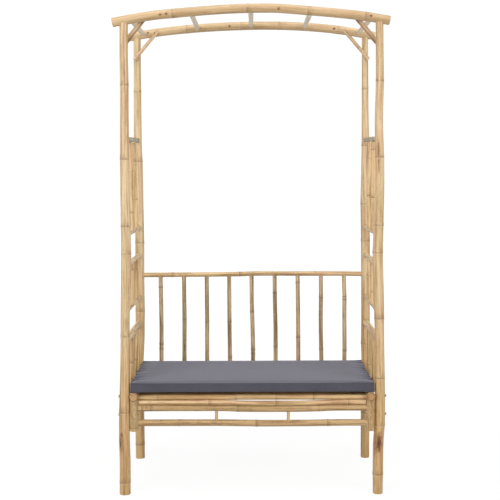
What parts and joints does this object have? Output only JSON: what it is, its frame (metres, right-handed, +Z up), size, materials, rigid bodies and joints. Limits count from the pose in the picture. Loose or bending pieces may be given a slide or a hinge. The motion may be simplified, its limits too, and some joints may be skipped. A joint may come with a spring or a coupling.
{
  "type": "arbour seat",
  "caption": "Bamboo arbour seat: bench under a bent-pole arch roof, with trellis sides, a spindle back and a loose seat pad.",
  "frame": {"origin": "on the ground, midway between the four feet", "axes": "+X to the right as seen from the front, +Y from the front to the back, +Z up"},
  "size_m": [1.1594, 0.544, 2.04],
  "materials": {
    "bamboo_leg": "natural bamboo pole, satin",
    "bamboo_arch": "heat-bent bamboo pole, satin",
    "bamboo_cane": "natural bamboo cane, satin",
    "split_bamboo": "split bamboo, satin skin and sawn edges",
    "wood_peg": "whittled bamboo peg, matt",
    "steel_fastener": "dull zinc",
    "cushion_fabric": "plain woven dark grey fabric",
    "cushion_core": "open-cell foam"
  },
  "bodies": {
    "frame": {"apron_lower_rail_front": "bamboo_cane", "apron_lower_rail_rear": "bamboo_cane", "apron_spacers": "bamboo_cane", "apron_upper_rail_front": "bamboo_cane", "apron_upper_rail_rear": "bamboo_cane", "arch_front": "bamboo_arch", "arch_pegs": "wood_peg", "arch_rear": "bamboo_arch", "back_base_rail": "bamboo_cane", "back_spindle_1": "bamboo_cane", "back_spindle_2": "bamboo_cane", "back_spindle_3": "bamboo_cane", "back_spindle_4": "bamboo_cane", "back_spindle_5": "bamboo_cane", "back_spindle_6": "bamboo_cane", "back_spindle_7": "bamboo_cane", "back_spindle_8": "bamboo_cane", "back_spindle_9": "bamboo_cane", "back_top_rail": "bamboo_cane", "brace_front_left": "split_bamboo", "brace_front_right": "split_bamboo", "brace_nails": "steel_fastener", "brace_rear_left": "split_bamboo", "brace_rear_right": "split_bamboo", "front_filler_pole": "bamboo_cane", "left_arm_rail": "bamboo_cane", "left_base_rail": "bamboo_cane", "left_lower_mid_rail": "bamboo_cane", "left_panel_sticks": "bamboo_cane", "left_top_rail": "bamboo_cane", "left_upper_mid_rail": "bamboo_cane", "left_window_rail": "bamboo_cane", "leg_front_left": "bamboo_leg", "leg_front_right": "bamboo_leg", "leg_rear_left": "bamboo_leg", "leg_rear_right": "bamboo_leg", "post_front_left": "bamboo_leg", "post_front_right": "bamboo_leg", "post_rear_left": "bamboo_leg", "post_rear_right": "bamboo_leg", "right_arm_rail": "bamboo_cane", "right_base_rail": "bamboo_cane", "right_lower_mid_rail": "bamboo_cane", "right_panel_sticks": "bamboo_cane", "right_top_rail": "bamboo_cane", "right_upper_mid_rail": "bamboo_cane", "right_window_rail": "bamboo_cane", "roof_rung_1": "bamboo_cane", "roof_rung_2": "bamboo_cane", "roof_rung_3": "bamboo_cane", "roof_rung_4": "bamboo_cane", "roof_rung_5": "bamboo_cane", "seat_bolts": "steel_fastener", "seat_nuts": "steel_fastener", "seat_rail_left": "bamboo_cane", "seat_rail_right": "bamboo_cane", "seat_slats": "bamboo_cane", "seat_washers": "steel_fastener"},
    "cushion": {"cushion_cover": "cushion_fabric", "cushion_foam": "cushion_core"}
  },
  "joints": [
    {"name": "cushion_lift", "type": "slide", "parent": "frame", "child": "cushion", "axis": [0, 0, 1], "range_m": [0, 0.25]}
  ]
}
